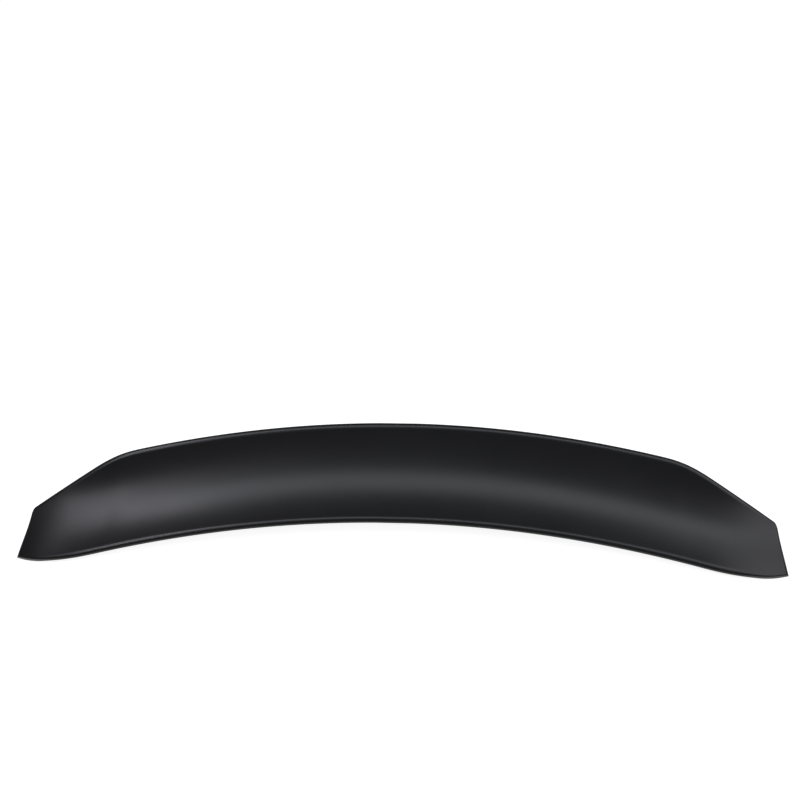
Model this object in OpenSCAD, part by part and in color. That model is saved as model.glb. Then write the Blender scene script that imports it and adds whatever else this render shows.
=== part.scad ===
// Trunk spoiler with a raised lip, blow-moulded in one hollow piece.
// Frame: X across the car, Y to the rear, Z up, in millimetres.
// The origin is the middle of the front tape channel's floor.

/* [Overall size] */
// Width across the front tips
tip_width = 1260; // [1230:5:1290]
// Depth from the leading edge to the lip at the middle
mid_depth = 160.5; // [152:0.5:170]
// Height of the lip over the underside at the middle
lip_height = 69; // [62:0.5:76]
// Drop of the underside from the middle to the tips, as the boot lid is crowned
lid_crown = 30; // [24:1:36]
// Height of the leading edge
edge_height = 8.5; // [8.5:0.25:9.5]

/* [Plan shape] */
// How far the leading edge sweeps forward from the middle to the tips
front_sweep = 100.5; // [93:0.5:108]
// Distance from a tip at which the leading edge begins to straighten
front_ease_from = 145; // [125:5:165]
// Length over which it straightens
front_ease_length = 114; // [100:2:124]
// Slope in plan that the straightened end loses
front_ease_slope = 0.285; // [0.24:0.005:0.34]
// How far the lip sweeps forward from the middle to its ends
lip_sweep = 103.5; // [97:0.5:110]
// Distance from the lip's end at which its shoulder begins
shoulder_from = 185; // [170:1:200]
// Length of the bend at the shoulder
shoulder_bend = 88; // [76:1:100]
// Slope in plan that the shoulder adds
shoulder_plan_slope = 0.275; // [0.23:0.005:0.31]
// Slope at which the lip falls past the shoulder
shoulder_fall_slope = 0.285; // [0.25:0.005:0.32]
// How much the lip's ends stand in from the front tips
end_inset = 13; // [8:1:18]
// Plan radius of the rear corner at each end
rear_corner_r = 5.5; // [4:0.5:8]
// How far the front corner at each tip is drawn back
tip_setback = 9.5; // [7:0.5:14]
// Length over which a tip thins out and is drawn back
tip_length = 46; // [40:1:55]
// Thickness of a tip where the rounding of its end cut starts
tip_thickness = 6.5; // [5.5:0.25:7.5]
// How late a tip thins out, as a power of the way into it
tip_fullness = 4; // [2:1:5]

/* [Section] */
// How far back the roll over the leading edge reaches
nose_depth = 9; // [7:0.5:11]
// Height of the roll over the leading edge
nose_height = 6; // [5.5:0.25:6]
// Share of that roll that is left at a tip, where the leading edge is sharper
nose_tip_share = 0.5; // [0.3:0.05:0.7]
// Distance from a tip at which the roll begins to shrink
nose_shrink_from = 90; // [70:5:110]
// Length over which it shrinks
nose_shrink_length = 60; // [50:5:65]
// Radius under the leading edge
nose_under_r = 1.2; // [1:0.1:1.5]
// Radius of the lip's edge
lip_r = 5; // [4.5:0.25:5.5]
// Radius at which the top face rolls over into the lip
lip_roll_r = 13; // [11:0.5:15]
// Angle of the top face at which that roll passes into the lip's edge
lip_roll_end = 8; // [5:1:10]
// Slope of the top face behind the leading edge at the middle
front_slope_mid = 0.04; // [0:0.01:0.1]
// Slope of the top face behind the leading edge that the ends tend to
front_slope_end = 0.48; // [0.42:0.01:0.54]
// Angle of the top face before the lip at the middle
lip_angle_mid = 44; // [40:1:48]
// Angle of the top face before the lip that the ends tend to
lip_angle_end = 14; // [10:1:18]
// Distance from the lip's end at which the top face begins to straighten
change_from = 150; // [135:5:165]
// Length over which it would straighten fully
change_length = 250; // [235:5:270]
// How far the lip overhangs the underside at the middle
overhang_mid = 50; // [44:1:56]
// How far the lip overhangs the underside at the ends
overhang_end = 8; // [6:1:12]
// Angle from upright at which the rear skin leaves the lip
skin_angle_top = 40; // [34:1:46]
// Angle from upright at which the rear skin meets the underside
skin_angle_low = 12; // [8:1:16]
// Radius at the foot of the rear skin
foot_r = 3; // [2.5:0.25:3.5]
// Rounding of the top along each end cut
end_round = 4.5; // [3:0.25:5]
// Most that the end rounding takes off the leading edge, as a share of its thickness
end_round_share = 0.7; // [0.5:0.05:0.75]

/* [Underside] */
// Width of the bonding tape that each channel takes
tape_width = 20; // [16:1:22]
// Depth of the tape channels
tape_depth = 1.2; // [1:0.1:1.4]
// Land left between a channel and the edge of the underside
tape_land = 6; // [5.5:0.5:7]
// Draft of the channel sides, as a width
channel_draft = 0.8; // [0.5:0.1:1]
// Distance from a tip at which the tape channels stop
tape_stop = 56; // [50:1:70]
// Depth of the relief between the two bonding lands
relief_depth = 3; // [2:0.25:3.5]
// Width of the slope at each side of the relief
relief_draft = 4; // [3:0.5:5]
// Half length of the flat stretch at the middle
flat_half = 30; // [20:5:40]

/* [Hollow] */
// Wall of the moulding
wall = 3; // [2.5:0.1:3.2]
// Distance from a tip at which the hollow stops
hollow_stop = 62; // [56:1:90]
// Diameter of the blow needle holes in the underside
blow_hole_d = 3.5; // [3:0.25:3.75]
// Distance of each blow needle hole from the middle
blow_hole_x = 260; // [220:10:300]
// Distance of the blow needle holes behind the leading edge
blow_hole_back = 62; // [56:1:70]

/* [Hidden] */
half = tip_width / 2;
rear_half = half - end_inset;
origin_back = tape_land + channel_draft + tape_width / 2;
roll_from = 90 + lip_roll_end;
roll_steps = 4;
edge_steps = 6;
top_steps = 12;
skin_steps = 5;
nose_steps = 6;
hollow_top_steps = 7;
hollow_skin_steps = 3;
lip_fused = 0.42;

// Distance from a tip of each station in the rounding of the end cut and in the tip's own zone
round_count = 5;
round_stations = [for (i = [0:round_count]) end_round * (1 - cos(90 * i / round_count))];
tip_count = 8;
tip_span = tip_length - end_round;
tip_stations = [for (i = [1:tip_count]) end_round + tip_span * pow(i / tip_count, 1.5)];
// Stations between the tip's zone and the flat middle
mid_count = 20;
mid_first = tip_length + 4;
mid_span = half - flat_half - mid_first;
mid_stations = [for (i = [0:mid_count]) mid_first + mid_span * pow(i / mid_count, 1.25)];
// The channels end between two stations close to each other
channel_stations = [tape_stop - channel_draft, tape_stop];
from_tip = ordered(concat(round_stations, tip_stations, mid_stations, channel_stations));
outer_u = both_sides([for (e = from_tip) 1 - e / half]);
hollow_e = [for (e = from_tip) if (e > hollow_stop + 1) e];
hollow_u = both_sides([for (e = concat([hollow_stop], hollow_e)) 1 - e / half]);

function ordered(v) =
    len(v) < 2 ? v :
    let (pivot = v[floor(len(v) / 2)])
    concat(
        ordered([for (a = v) if (a < pivot) a]),
        [pivot],
        ordered([for (a = v) if (a > pivot) a])
    );

function both_sides(v) = concat([for (a = v) -a], [for (i = [len(v) - 1:-1:0]) v[i]]);

function smooth(t) = let (k = max(0, min(1, t))) k * k * (3 - 2 * k);

function mix(a, b, t) = a + (b - a) * t;

// Length gained past a start point by a slope that fades in over a blend length
function eased(d, start, blend) =
    d <= start ? 0 :
    d >= start + blend ? d - start - blend / 2 :
    let (t = (d - start) / blend) blend * (pow(t, 3) - pow(t, 4) / 2);

// Share of the tip's zone that a station has gone into
function in_tip(v) = max(0, v * half - half + tip_length) / tip_length;

// Drop of a quarter circle of radius r at a distance e from its end
function rolled(e, r) = e >= r ? 0 : r - sqrt(r * r - (r - e) * (r - e));

function lead_x(v) = v * half;
function lead_y(v) =
    -front_sweep * v * v
    + front_ease_slope * eased(v * half, half - front_ease_from, front_ease_length)
    + tip_setback * pow(in_tip(v), 2);

function lip_x(v) = v * rear_half;
function lip_y(v) =
    mid_depth - lip_sweep * v * v
    - shoulder_plan_slope * eased(lip_x(v), rear_half - shoulder_from, shoulder_bend)
    - rolled(rear_half - lip_x(v), rear_corner_r);

function base_z(v) = -lid_crown * v * v;
function lip_h(v) =
    lip_height
    - shoulder_fall_slope * eased(lip_x(v), rear_half - shoulder_from, shoulder_bend)
    - tan(lip_angle(v)) * rolled(rear_half - lip_x(v), rear_corner_r)
    - rolled(half - v * half, end_round);
function edge_h(v) =
    let (full = tip_thickness + (edge_height - tip_thickness) * (1 - pow(in_tip(v), tip_fullness)))
    full - min(rolled(half - v * half, end_round), end_round_share * full);

function chord(v) = lip_y(v) - lead_y(v);
// Shares by which a station's top face and its overhang have gone from the middle's to the end's
function to_end(v) = smooth((lip_x(v) - rear_half + change_from) / change_length);
function to_tip(v) = smooth((lip_x(v) - rear_half + shoulder_from) / shoulder_from);
function front_slope(v) = mix(front_slope_mid, front_slope_end, to_end(v));
function lip_angle(v) = mix(lip_angle_mid, lip_angle_end, to_end(v));
function overhang(v) = mix(overhang_mid, overhang_end, to_tip(v));
function foot(v) = chord(v) - overhang(v);
function in_tape(v) = v * half <= half - tape_stop + 0.001 ? 1 : 0;

// Curve between two points with a given direction at each
function bend(a, b, da, db, t) =
    let (
        h1 = 2 * pow(t, 3) - 3 * pow(t, 2) + 1,
        h2 = pow(t, 3) - 2 * pow(t, 2) + t,
        h3 = -2 * pow(t, 3) + 3 * pow(t, 2),
        h4 = pow(t, 3) - pow(t, 2)
    )
    h1 * a + h2 * da + h3 * b + h4 * db;

function nose_share(v) =
    mix(1, nose_tip_share, smooth((v * half - half + nose_shrink_from) / nose_shrink_length));
function nose_h(v) = min(nose_height, 0.72 * edge_h(v)) * nose_share(v);
function nose_d(v) = nose_depth * nose_h(v) / nose_height;
function nose_end(v) = 180 - atan2(nose_h(v), nose_d(v) * front_slope(v));
function on_nose(v, a) = [nose_d(v) * (1 + cos(a)), edge_h(v) - nose_h(v) * (1 - sin(a))];
function top_start(v) = on_nose(v, nose_end(v));

function lip_centre(v) = [chord(v) - lip_r, lip_h(v) - lip_r];
function on_lip(v, a) = lip_centre(v) + lip_r * [cos(a), sin(a)];
function on_roll(v, a) =
    lip_centre(v)
    + (lip_r - lip_roll_r) * [cos(roll_from), sin(roll_from)]
    + lip_roll_r * [cos(a), sin(a)];
function top_end(v) = on_roll(v, 90 + lip_angle(v));

// Concave top face, t from 0 at the nose to 1 at the lip
function top_point(v, t) =
    let (a = top_start(v), b = top_end(v), run = b[0] - a[0])
    bend(a, b, run * [1, front_slope(v)], run * [1, tan(lip_angle(v))], t);

// Rear skin, t from 0 under the lip to 1 at the foot
function skin_point(v, t) =
    let (
        a = on_lip(v, -skin_angle_top),
        b = [foot(v), foot_r],
        run = norm(b - a)
    )
    bend(a, b, run * [-sin(skin_angle_top), -cos(skin_angle_top)],
        run * [-sin(skin_angle_low), -cos(skin_angle_low)], t);

// Underside from the foot to the leading edge, with its two tape channels and the relief between them
function under_points(v) =
    let (
        d = tape_depth * in_tape(v),
        m = relief_depth * in_tape(v),
        w = tape_width + 2 * channel_draft,
        r0 = foot(v) - foot_r - tape_land,
        r1 = r0 - w,
        r2 = r1 - tape_land,
        f0 = tape_land,
        f1 = f0 + w,
        f2 = f1 + tape_land
    )
    [
        [r0, 0], [r0 - channel_draft, d], [r1 + channel_draft, d], [r1, 0], [r2, 0],
        [r2 - relief_draft, m], [f2 + relief_draft, m],
        [f2, 0], [f1, 0], [f1 - channel_draft, d], [f0 + channel_draft, d], [f0, 0]
    ];

// Whole section of one station, as distance behind the leading edge and height over the underside
function section(v) =
    let (q = min(nose_under_r, 0.2 * edge_h(v)))
    concat(
        [[0, q]],
        [for (i = [0:nose_steps - 1]) on_nose(v, mix(180, nose_end(v), i / nose_steps))],
        [for (i = [0:top_steps]) top_point(v, i / top_steps)],
        [for (i = [1:roll_steps]) on_roll(v, mix(90 + lip_angle(v), roll_from, i / roll_steps))],
        [for (i = [1:edge_steps]) on_lip(v, mix(roll_from, -skin_angle_top, i / edge_steps))],
        [for (i = [1:skin_steps]) skin_point(v, i / skin_steps)],
        [for (a = [-30, -60, -90]) [foot(v) - foot_r, foot_r] + foot_r * [cos(a), sin(a)]],
        under_points(v),
        [[q, 0]]
    );

// Height of the hollow's roof at a distance behind the leading edge, one wall under the top face
function roof_z(v, back) =
    let (
        a = top_start(v)[0],
        run = top_end(v)[0] - a,
        t = (back - a) / run,
        rise = (top_point(v, t + 0.01)[1] - top_point(v, t - 0.01)[1]) / (0.02 * run)
    )
    top_point(v, t)[1] - wall * sqrt(1 + rise * rise);

// Point one wall inside the rear skin
function inner_skin(v, t) =
    let (p = skin_point(v, t), d = skin_point(v, t + 0.01) - skin_point(v, t - 0.01))
    [p[0] - wall * norm(d) / abs(d[1]), p[1]];

// Hollow of one station, from the front bonding land to where the lip's two skins meet
function hollow_section(v) =
    let (
        front = 2 * tape_land + tape_width + 2 * channel_draft + relief_draft,
        floor_z = wall + relief_depth,
        back = [for (i = [0:hollow_skin_steps]) inner_skin(v, mix(lip_fused, 0.8, i / hollow_skin_steps))]
    )
    concat(
        [[front, floor_z]],
        [for (i = [0:hollow_top_steps])
            let (s = mix(front, back[0][0], i / hollow_top_steps)) [s, roof_z(v, s)]],
        back,
        [[foot(v) - wall - 1, floor_z]]
    );

// Point of a station, set into the frame
function placed(u, p) =
    let (v = abs(u), side = u < 0 ? -1 : 1, t = p[0] / chord(v))
    [
        side * mix(lead_x(v), lip_x(v), t),
        lead_y(v) + p[0] - origin_back,
        base_z(v) + p[1] - tape_depth
    ];

module loft(stations, sections) {
    n = len(sections[0]);
    points = [for (i = [0:len(stations) - 1]) for (p = sections[i]) placed(stations[i], p)];
    sides = [for (i = [0:len(stations) - 2]) for (j = [0:n - 1])
        let (a = i * n + j, b = i * n + (j + 1) % n, c = a + n, d = b + n)
        each [[a, b, d], [a, d, c]]];
    first_cap = [for (j = [n - 1:-1:0]) j];
    last_cap = [for (j = [0:n - 1]) (len(stations) - 1) * n + j];
    polyhedron(points, concat(sides, [first_cap, last_cap]), convexity = 8);
}

// Needle hole through the underside's relief, which joins the hollow to the air
module blow_hole(side) {
    v = blow_hole_x / half;
    depth = wall + relief_depth + 2;
    translate([side * blow_hole_x, lead_y(v) + blow_hole_back - origin_back, base_z(v) - tape_depth])
        cylinder(h = depth, d = blow_hole_d, $fn = 24);
}

module spoiler_body() {
    color([0.06, 0.06, 0.065])
    difference() {
        loft(outer_u, [for (u = outer_u) section(abs(u))]);
        loft(hollow_u, [for (u = hollow_u) hollow_section(abs(u))]);
        blow_hole(-1);
        blow_hole(1);
    }
}

spoiler_body();
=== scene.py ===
# Looks of the trunk spoiler: satin black moulded plastic on a plain pale floor
import math

import bpy
import numpy as np
from mathutils import Matrix, Vector


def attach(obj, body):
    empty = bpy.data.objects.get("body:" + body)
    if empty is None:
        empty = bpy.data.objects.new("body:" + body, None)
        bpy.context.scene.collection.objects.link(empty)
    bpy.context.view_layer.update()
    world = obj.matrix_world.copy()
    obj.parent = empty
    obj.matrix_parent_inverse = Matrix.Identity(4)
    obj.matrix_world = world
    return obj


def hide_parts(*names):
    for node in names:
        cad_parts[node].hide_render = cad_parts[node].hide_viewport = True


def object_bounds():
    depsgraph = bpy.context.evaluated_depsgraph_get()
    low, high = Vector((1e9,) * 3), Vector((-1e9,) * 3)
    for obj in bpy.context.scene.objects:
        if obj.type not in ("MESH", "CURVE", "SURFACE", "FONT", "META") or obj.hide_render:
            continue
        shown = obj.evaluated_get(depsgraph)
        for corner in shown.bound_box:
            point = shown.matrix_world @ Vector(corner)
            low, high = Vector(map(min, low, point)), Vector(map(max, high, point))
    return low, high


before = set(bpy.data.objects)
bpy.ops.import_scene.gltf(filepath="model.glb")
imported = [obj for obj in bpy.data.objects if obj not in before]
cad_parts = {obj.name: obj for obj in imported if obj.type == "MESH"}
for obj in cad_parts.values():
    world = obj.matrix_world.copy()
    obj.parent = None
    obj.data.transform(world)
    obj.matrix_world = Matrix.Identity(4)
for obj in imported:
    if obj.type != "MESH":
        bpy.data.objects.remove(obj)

cad_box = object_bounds()

# Sizes of the moulding in millimetres and degrees, the same values as in the part's source
TIP_WIDTH = 1260.0
MID_DEPTH = 160.5
LIP_HEIGHT = 69.0
LID_CROWN = 30.0
EDGE_HEIGHT = 8.5
FRONT_SWEEP = 100.5
FRONT_EASE_FROM = 145.0
FRONT_EASE_LENGTH = 114.0
FRONT_EASE_SLOPE = 0.285
LIP_SWEEP = 103.5
SHOULDER_FROM = 185.0
SHOULDER_BEND = 88.0
SHOULDER_PLAN_SLOPE = 0.275
SHOULDER_FALL_SLOPE = 0.285
END_INSET = 13.0
REAR_CORNER_R = 5.5
TIP_SETBACK = 9.5
TIP_LENGTH = 46.0
TIP_THICKNESS = 6.5
TIP_FULLNESS = 4.0
CHANGE_FROM = 150.0
CHANGE_LENGTH = 250.0
NOSE_DEPTH = 9.0
NOSE_HEIGHT = 6.0
NOSE_TIP_SHARE = 0.5
NOSE_SHRINK_FROM = 90.0
NOSE_SHRINK_LENGTH = 60.0
NOSE_UNDER_R = 1.2
LIP_R = 5.0
LIP_ROLL_R = 13.0
LIP_ROLL_END = 8.0
FRONT_SLOPE_MID = 0.04
FRONT_SLOPE_END = 0.48
LIP_ANGLE_MID = 44.0
LIP_ANGLE_END = 14.0
OVERHANG_MID = 50.0
OVERHANG_END = 8.0
SKIN_ANGLE_TOP = 40.0
SKIN_ANGLE_LOW = 12.0
FOOT_R = 3.0
END_ROUND = 4.5
END_ROUND_SHARE = 0.7
TAPE_WIDTH = 20.0
TAPE_DEPTH = 1.2
TAPE_LAND = 6.0
CHANNEL_DRAFT = 0.8
TAPE_STOP = 56.0
RELIEF_DEPTH = 3.0
RELIEF_DRAFT = 4.0
FLAT_HALF = 30.0
BLOW_HOLE_D = 3.5
BLOW_HOLE_X = 260.0
BLOW_HOLE_BACK = 62.0

# Most of the leading edge's height that its nose and its lower round may take
NOSE_MOST = 0.72
NOSE_UNDER_MOST = 0.2

HALF = TIP_WIDTH / 2
REAR_HALF = HALF - END_INSET
ORIGIN_BACK = TAPE_LAND + CHANNEL_DRAFT + TAPE_WIDTH / 2

# The mesh: points on each stretch of a section, stations across, and what only the mesh needs
NOSE_POINTS = 14
TOP_POINTS = 49
ROLL_POINTS = 10
LIP_POINTS = 14
SKIN_POINTS = 19
HEEL_POINTS = 6
UNDER_NOSE_POINTS = 5
MID_STATIONS = 70
SHOULDER_STATIONS = 62
TIP_STATIONS = 42
ROUND_STATIONS = 9
SHOULDER_ZONE = 210.0
TIP_ZONE = 60.0
TIP_CROWDING = 1.6
STATION_SLACK = 0.001
STEP_GAP = 0.05
SHARP_ANGLE = 32.0
END_CENTRE_BACK = 0.7
END_CENTRE_UP = 0.3
HOLE_FACETS = 32
HOLE_TOP = 8.0

# The moulding's finish: a flow pattern in colour and gloss, and a fine grain in metres
MOULDING_IOR = 1.45
BLACK_LOW = (0.0073, 0.0074, 0.0081, 1)
BLACK_HIGH = (0.0097, 0.0098, 0.0106, 1)
ROUGHNESS_LOW = 0.295
ROUGHNESS_HIGH = 0.32
FLOW_SCALE = 9.0
FLOW_DETAIL = 3.0
FLOW_RANGE = (0.3, 0.7)
GRAIN_SCALE = 1400.0
GRAIN_DETAIL = 2.0
GRAIN_STRENGTH = 0.35
GRAIN_DEPTH = 0.00003

# Floor and world, in metres and as strengths where 1 is white
FLOOR_HALF = 6.0
FLOOR_GREY = (0.55, 0.55, 0.55, 1)
FLOOR_ROUGHNESS = 0.9
FLOOR_GLOW = 0.89
WORLD_GLOW = 0.95
WORLD_LIGHT = 0.14
WHITE = (1, 1, 1, 1)

# Softboxes overhead, facing down: name, x, y, width, depth, radiance and colour
LAMP_HEIGHT = 1.5
SOFTBOXES = [
    ("left_box", -0.89, -0.10, 0.20, 1.14, 9.1, (0.92, 0.91, 1.0)),
    ("middle_box", 0.03, 0.10, 1.61, 0.42, 2.60, (0.90, 0.95, 1.0)),
    ("right_box", 1.56, -0.17, 1.63, 1.67, 1.86, (0.94, 0.93, 1.0)),
]

# Camera, from the fit of the photograph's outline: turn, elevation and roll in degrees, distances in metres
TURN, ELEVATION, ROLL = 8.89, 47.96, 5.97
DISTANCE = 2.309
AIM_BACK = 0.070
ASIDE, ABOVE = 0.01578, 0.1507
PIXELS_PER_METRE = 597.0
IMAGE_WIDTH = 800
SENSOR_WIDTH = 36.0


def eased(d, start, blend):
    """Length gained past start by a slope that fades in over blend."""
    t = np.clip((d - start) / blend, 0, 1)
    return blend * (t**3 - t**4 / 2) + np.maximum(d - start - blend, 0)


def rolled(e, r):
    """Drop of a quarter circle of radius r at a distance e from its end."""
    return r - np.sqrt(np.maximum(r * r - np.maximum(r - e, 0) ** 2, 0))


def smooth(t):
    """Share from 0 to 1 that starts and ends level."""
    t = min(max(t, 0.0), 1.0)
    return t * t * (3 - 2 * t)


def between(a, b, share):
    return a + (b - a) * share


def hermite(a, b, da, db, t):
    """Cubic from a to b with the tangents da and db."""
    return (
        (2 * t**3 - 3 * t**2 + 1) * a
        + (t**3 - 2 * t**2 + t) * da
        + (3 * t**2 - 2 * t**3) * b
        + (t**3 - t**2) * db
    )


def arc(centre, radii, start, end, count):
    """Points on an arc of an ellipse between two angles."""
    a = np.linspace(start, end, count)
    return np.stack([centre[0] + radii[0] * np.cos(a), centre[1] + radii[1] * np.sin(a)], 1)


def tip_share(x):
    """How far x is into the tip, 0 before it and 1 at the end cut."""
    return max(0.0, x - HALF + TIP_LENGTH) / TIP_LENGTH


def leading_y(v):
    """Leading edge in plan at the station v."""
    ease = FRONT_EASE_SLOPE * eased(v * HALF, HALF - FRONT_EASE_FROM, FRONT_EASE_LENGTH)
    return -FRONT_SWEEP * v * v + ease + TIP_SETBACK * tip_share(v * HALF) ** 2


def edge_height(x):
    """Height of the leading edge, which thins over the tip and rounds off at the end cut."""
    full = TIP_THICKNESS + (EDGE_HEIGHT - TIP_THICKNESS) * (1 - tip_share(x) ** TIP_FULLNESS)
    return full - min(rolled(HALF - x, END_ROUND), END_ROUND_SHARE * full)


def nose(x, edge_h, front_slope):
    """Roll over the leading edge, up to where it meets the top face's slope."""
    sharper = smooth((x - HALF + NOSE_SHRINK_FROM) / NOSE_SHRINK_LENGTH)
    nh = min(NOSE_HEIGHT, NOSE_MOST * edge_h) * between(1, NOSE_TIP_SHARE, sharper)
    nd = NOSE_DEPTH * nh / NOSE_HEIGHT
    return arc((nd, edge_h - nh), (nd, nh), math.pi, math.pi - math.atan2(nh, nd * front_slope), NOSE_POINTS)


def lip(chord, lip_h, lip_angle):
    """Roll from the top face into the lip, and the lip's own round edge down to the rear skin."""
    cy, cz = chord - LIP_R, lip_h - LIP_R
    roll_end = math.pi / 2 + math.radians(LIP_ROLL_END)
    gap = LIP_R - LIP_ROLL_R
    roll_centre = (cy + gap * math.cos(roll_end), cz + gap * math.sin(roll_end))
    roll = arc(roll_centre, (LIP_ROLL_R, LIP_ROLL_R), math.pi / 2 + lip_angle, roll_end, ROLL_POINTS)
    edge = arc((cy, cz), (LIP_R, LIP_R), roll_end, -math.radians(SKIN_ANGLE_TOP), LIP_POINTS)
    return np.concatenate([roll, edge[1:]])


def top_face(start, end, front_slope, lip_angle):
    """Concave top face between the nose and the lip, without its two end points."""
    run = end[0] - start[0]
    leaves = run * np.array([1, front_slope])
    meets = run * np.array([1, math.tan(lip_angle)])
    return hermite(start, end, leaves, meets, np.linspace(0, 1, TOP_POINTS)[1:-1, None])


def rear_skin(start, foot):
    """Rear skin from the lip to the foot's round, without its first point."""
    end = np.array([foot, FOOT_R])
    reach = np.linalg.norm(end - start)
    a0, a1 = math.radians(SKIN_ANGLE_TOP), math.radians(SKIN_ANGLE_LOW)
    leaves = -reach * np.array([math.sin(a0), math.cos(a0)])
    meets = -reach * np.array([math.sin(a1), math.cos(a1)])
    return hermite(start, end, leaves, meets, np.linspace(0, 1, SKIN_POINTS)[1:, None])


def under(foot, taped):
    """Underside from the foot to the leading edge, with the edges of its channels and relief eased."""
    d, m = TAPE_DEPTH * taped, RELIEF_DEPTH * taped
    w = TAPE_WIDTH + 2 * CHANNEL_DRAFT
    rear = foot - FOOT_R - TAPE_LAND
    heights = [0, d, d, 0, 0, m]
    steps = [0, CHANNEL_DRAFT, w - CHANNEL_DRAFT, w, w + TAPE_LAND, w + TAPE_LAND + RELIEF_DRAFT]
    # The steps close up at the middle where a tip gets too narrow for them
    steps = [min(a, (rear - TAPE_LAND) / 2 - (len(steps) - i) * STEP_GAP) for i, a in enumerate(steps)]
    behind = [(rear - a, h) for a, h in zip(steps, heights)]
    ahead = [(TAPE_LAND + a, h) for a, h in zip(steps, heights)]
    return np.array(behind + ahead[::-1], float)


def section(v):
    """Closed section at the station v, 0 in the middle and 1 at a tip, as rows of x, y and z."""
    x, lip_x = v * HALF, v * REAR_HALF
    held = max(v, FLAT_HALF / HALF)
    shoulder = eased(lip_x, REAR_HALF - SHOULDER_FROM, SHOULDER_BEND)
    corner = rolled(REAR_HALF - lip_x, REAR_CORNER_R)
    lead_y = leading_y(held)
    lip_y = MID_DEPTH - LIP_SWEEP * held**2 - SHOULDER_PLAN_SLOPE * shoulder - corner
    chord = lip_y - lead_y
    base_z = -LID_CROWN * held**2

    to_end = smooth((lip_x - REAR_HALF + CHANGE_FROM) / CHANGE_LENGTH)
    to_tip = smooth((lip_x - REAR_HALF + SHOULDER_FROM) / SHOULDER_FROM)
    front_slope = between(FRONT_SLOPE_MID, FRONT_SLOPE_END, to_end)
    lip_angle = math.radians(between(LIP_ANGLE_MID, LIP_ANGLE_END, to_end))
    edge_h = edge_height(x)
    corner_drop = math.tan(lip_angle) * corner
    lip_h = LIP_HEIGHT - SHOULDER_FALL_SLOPE * shoulder - corner_drop - rolled(HALF - x, END_ROUND)
    foot = chord - between(OVERHANG_MID, OVERHANG_END, to_tip)

    nose_arc = nose(x, edge_h, front_slope)
    lip_arc = lip(chord, lip_h, lip_angle)
    top = top_face(nose_arc[-1], lip_arc[0], front_slope, lip_angle)
    skin = rear_skin(lip_arc[-1], foot)
    heel_start = -math.radians(SKIN_ANGLE_LOW)
    heel = arc((foot - FOOT_R, FOOT_R), (FOOT_R, FOOT_R), heel_start, -math.pi / 2, HEEL_POINTS)
    taped = 1.0 if x <= HALF - TAPE_STOP + STATION_SLACK else 0.0
    q = min(NOSE_UNDER_R, NOSE_UNDER_MOST * edge_h)
    under_nose = arc((q, q), (q, q), -math.pi / 2, -math.pi, UNDER_NOSE_POINTS)

    points = np.concatenate([nose_arc, top, lip_arc, skin, heel, under(foot, taped), under_nose])
    back, up = points[:, :1], points[:, 1:]
    across = x + (lip_x - x) * (back / chord)
    return np.concatenate([across, back + lead_y - ORIGIN_BACK, up + base_z - TAPE_DEPTH], 1)


def stations():
    """Stations from the middle to a tip, close together where the form turns."""
    quarter = np.linspace(0, 1, ROUND_STATIONS) * math.pi / 2
    x = np.concatenate([
        np.linspace(0, HALF - SHOULDER_ZONE, MID_STATIONS),
        np.linspace(HALF - SHOULDER_ZONE, HALF - TIP_ZONE, SHOULDER_STATIONS)[1:],
        [HALF - TAPE_STOP, HALF - TAPE_STOP + CHANNEL_DRAFT],
        HALF - TIP_LENGTH * np.linspace(1, 0, TIP_STATIONS) ** TIP_CROWDING,
        HALF - END_ROUND * (1 - np.sin(quarter)),
    ])
    return np.unique(np.round(x, 4)) / HALF


def end_centre(row):
    """Point inside the flat end section from which all of its rim can be seen."""
    front, back = row[row[:, 1].argmin()], row[row[:, 1].argmax()]
    low, high = row[:, 2].min(), row[:, 2].max()
    across, along = (front + END_CENTRE_BACK * (back - front))[:2]
    return (across, along, low + END_CENTRE_UP * (high - low))


def new_mesh(name, co, faces):
    me = bpy.data.meshes.new(name)
    me.from_pydata([tuple(c) for c in co], [], faces)
    return me


def new_object(name, data):
    o = bpy.data.objects.new(name, data)
    bpy.context.scene.collection.objects.link(o)
    return o


def moulding():
    """The moulding's skin over all stations, with flat end cuts and two needle holes."""
    half = [section(v) for v in stations()]
    rows = [s * (-1, 1, 1) for s in half[:0:-1]] + half
    co = np.concatenate(rows + [[end_centre(rows[0]), end_centre(rows[-1])]]) / 1000
    n = len(rows[0])
    i = np.arange(len(rows) - 1)[:, None] * n
    j = np.arange(n)
    k = (j + 1) % n
    quads = np.stack([i + j, i + k, i + n + k, i + n + j], -1).reshape(-1, 4)[:, ::-1]
    faces = [tuple(int(a) for a in f) for f in quads]
    left, right = len(co) - 2, len(co) - 1
    last = (len(rows) - 1) * n
    faces += [(left, a, (a + 1) % n) for a in range(n)]
    faces += [(right, last + (a + 1) % n, last + a) for a in range(n)]
    me = new_mesh("moulding", co, faces)
    me.validate()
    me.shade_smooth()
    # The sharp edges come first, because finding them clears the end cuts' flat marks
    me.set_sharp_from_angle(angle=math.radians(SHARP_ANGLE))
    for face in me.polygons[-2 * n:]:
        face.use_smooth = False
    o = new_object("moulding", me)
    for side in (-1, 1):
        cut_hole(o, side)
    return o


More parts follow.
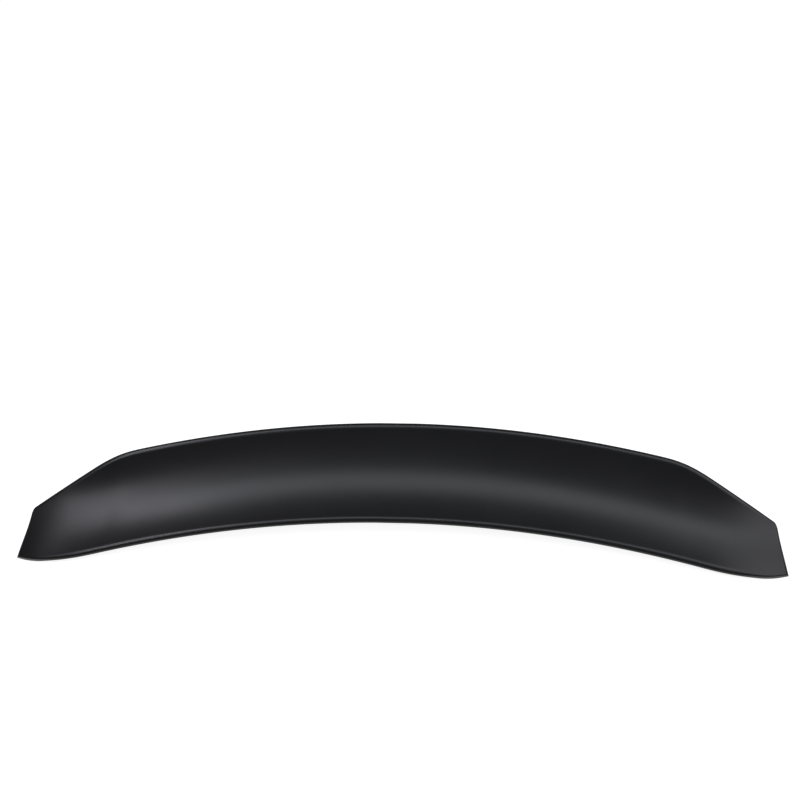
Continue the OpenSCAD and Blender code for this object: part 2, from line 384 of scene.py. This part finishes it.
def cut_hole(o, side):
    """Blind needle hole in the relief of the underside."""
    v = BLOW_HOLE_X / HALF
    r = BLOW_HOLE_D / 2
    x, y = side * BLOW_HOLE_X, leading_y(v) + BLOW_HOLE_BACK - ORIGIN_BACK
    z = -LID_CROWN * v * v - TAPE_DEPTH
    ring = arc((x, y), (r, r), 0, 2 * math.pi, HOLE_FACETS + 1)[:-1]
    co = np.concatenate([np.insert(ring, 2, z, 1), np.insert(ring, 2, z + HOLE_TOP, 1)]) / 1000
    n = HOLE_FACETS
    faces = [tuple(range(n))[::-1], tuple(range(n, 2 * n))]
    faces += [(i, (i + 1) % n, n + (i + 1) % n, n + i) for i in range(n)]
    needle = new_object("needle", new_mesh("needle", co, faces))
    cut = o.modifiers.new("needle", "BOOLEAN")
    cut.operation = "DIFFERENCE"
    cut.solver = "EXACT"
    cut.object = needle
    holed = bpy.data.meshes.new_from_object(o.evaluated_get(bpy.context.evaluated_depsgraph_get()))
    o.modifiers.clear()
    o.data = holed
    bpy.data.objects.remove(needle)


def node(nt, kind, **sockets):
    """New shader node with the values of its named sockets, an underscore for each space."""
    n = nt.nodes.new("ShaderNode" + kind)
    for name, value in sockets.items():
        n.inputs[name.replace("_", " ")].default_value = value
    return n


def math_node(nt, operation, source):
    n = nt.nodes.new("ShaderNodeMath")
    n.operation = operation
    nt.links.new(source, n.inputs[0])
    return n


def new_material(name):
    m = bpy.data.materials.new(name)
    m.use_nodes = True
    return m, m.node_tree, m.node_tree.nodes["Principled BSDF"]


def satin_black():
    """Satin moulded plastic, with a faint flow pattern and a fine grain."""
    m, nt, bsdf = new_material("satin_black_moulding")
    bsdf.inputs["IOR"].default_value = MOULDING_IOR
    place = nt.nodes.new("ShaderNodeTexCoord")
    flow = node(nt, "TexNoise", Scale=FLOW_SCALE, Detail=FLOW_DETAIL)
    grain = node(nt, "TexNoise", Scale=GRAIN_SCALE, Detail=GRAIN_DETAIL)
    for noise in (flow, grain):
        nt.links.new(place.outputs["Object"], noise.inputs["Vector"])

    black = nt.nodes.new("ShaderNodeMix")
    black.data_type = "RGBA"
    black.inputs["A"].default_value = BLACK_LOW
    black.inputs["B"].default_value = BLACK_HIGH
    nt.links.new(flow.outputs["Fac"], black.inputs["Factor"])
    nt.links.new(black.outputs["Result"], bsdf.inputs["Base Color"])

    lo, hi = FLOW_RANGE
    rough = node(nt, "MapRange", From_Min=lo, From_Max=hi, To_Min=ROUGHNESS_LOW, To_Max=ROUGHNESS_HIGH)
    nt.links.new(flow.outputs["Fac"], rough.inputs["Value"])
    nt.links.new(rough.outputs["Result"], bsdf.inputs["Roughness"])

    bump = node(nt, "Bump", Strength=GRAIN_STRENGTH, Distance=GRAIN_DEPTH)
    nt.links.new(grain.outputs["Fac"], bump.inputs["Height"])
    nt.links.new(bump.outputs["Normal"], bsdf.inputs["Normal"])
    return m


def floor_paint():
    """Grey that glows to the camera, in gloss and through glass, keeps a shadow, and is clear from below."""
    m, nt, bsdf = new_material("pale_floor")
    bsdf.inputs["Base Color"].default_value = FLOOR_GREY
    bsdf.inputs["Roughness"].default_value = FLOOR_ROUGHNESS
    bsdf.inputs["Specular IOR Level"].default_value = 0.0
    bsdf.inputs["Emission Color"].default_value = WHITE

    path = nt.nodes.new("ShaderNodeLightPath")
    seen = path.outputs["Is Camera Ray"]
    for ray in ("Is Glossy Ray", "Is Transmission Ray"):
        either_ray = math_node(nt, "MAXIMUM", seen)
        nt.links.new(path.outputs[ray], either_ray.inputs[1])
        seen = either_ray.outputs[0]
    glow = math_node(nt, "MULTIPLY", seen)
    glow.inputs[1].default_value = FLOOR_GLOW
    nt.links.new(glow.outputs[0], bsdf.inputs["Emission Strength"])

    side = nt.nodes.new("ShaderNodeNewGeometry")
    clear = nt.nodes.new("ShaderNodeBsdfTransparent")
    either_side = nt.nodes.new("ShaderNodeMixShader")
    nt.links.new(side.outputs["Backfacing"], either_side.inputs[0])
    nt.links.new(bsdf.outputs[0], either_side.inputs[1])
    nt.links.new(clear.outputs[0], either_side.inputs[2])
    nt.links.new(either_side.outputs[0], nt.nodes["Material Output"].inputs["Surface"])
    return m


def pale_floor(z):
    """Plain floor at the height z."""
    s = FLOOR_HALF
    corners = [(-s, -s, z), (s, -s, z), (s, s, z), (-s, s, z)]
    floor = new_object("floor", new_mesh("floor", corners, [(0, 1, 2, 3)]))
    floor.data.materials.append(floor_paint())


def pale_world():
    """World that the camera sees as pale as the floor, and that lights the moulding only a little."""
    world = bpy.data.worlds.new("studio")
    world.use_nodes = True
    nt = world.node_tree
    background = nt.nodes["Background"]
    background.inputs["Color"].default_value = WHITE
    path = nt.nodes.new("ShaderNodeLightPath")
    level = node(nt, "MapRange", To_Min=WORLD_LIGHT, To_Max=WORLD_GLOW)
    nt.links.new(path.outputs["Is Camera Ray"], level.inputs["Value"])
    nt.links.new(level.outputs["Result"], background.inputs["Strength"])
    bpy.context.scene.world = world


def softbox(name, x, y, wide, deep, radiance, colour):
    """Rectangular lamp that faces down, as an area lamp does by itself."""
    data = bpy.data.lights.new(name, "AREA")
    data.shape = "RECTANGLE"
    data.size, data.size_y = wide, deep
    data.energy = radiance * math.pi * wide * deep
    data.color = colour
    new_object(name, data).location = (x, y, LAMP_HEIGHT)


def photo_camera():
    """Camera that frames the moulding as the photograph does."""
    turn, el, roll = (math.radians(a) for a in (TURN, ELEVATION, ROLL))
    right = Vector((math.cos(turn), math.sin(turn), 0))
    away = Vector((-math.sin(turn), math.cos(turn), 0))
    forward = away * math.cos(el) - Vector((0, 0, 1)) * math.sin(el)
    up = away * math.sin(el) + Vector((0, 0, 1)) * math.cos(el)
    cam_right = right * math.cos(roll) - up * math.sin(roll)
    cam_up = right * math.sin(roll) + up * math.cos(roll)
    aim = away * AIM_BACK - Vector((0, ORIGIN_BACK, TAPE_DEPTH)) / 1000
    data = bpy.data.cameras.new("camera")
    data.sensor_width = SENSOR_WIDTH
    data.lens = PIXELS_PER_METRE * DISTANCE * SENSOR_WIDTH / IMAGE_WIDTH
    o = new_object("camera", data)
    m = Matrix((cam_right, cam_up, -forward)).transposed().to_4x4()
    m.translation = aim + cam_right * ASIDE + cam_up * ABOVE - forward * DISTANCE
    o.matrix_world = m
    bpy.context.scene.camera = o


body = moulding()
body.data.materials.append(satin_black())
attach(body, "root")
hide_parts("spoiler_body")

photo_camera()
pale_floor(cad_box[0][2])
for box in SOFTBOXES:
    softbox(*box)
pale_world()
bpy.context.scene.view_settings.view_transform = "Standard"
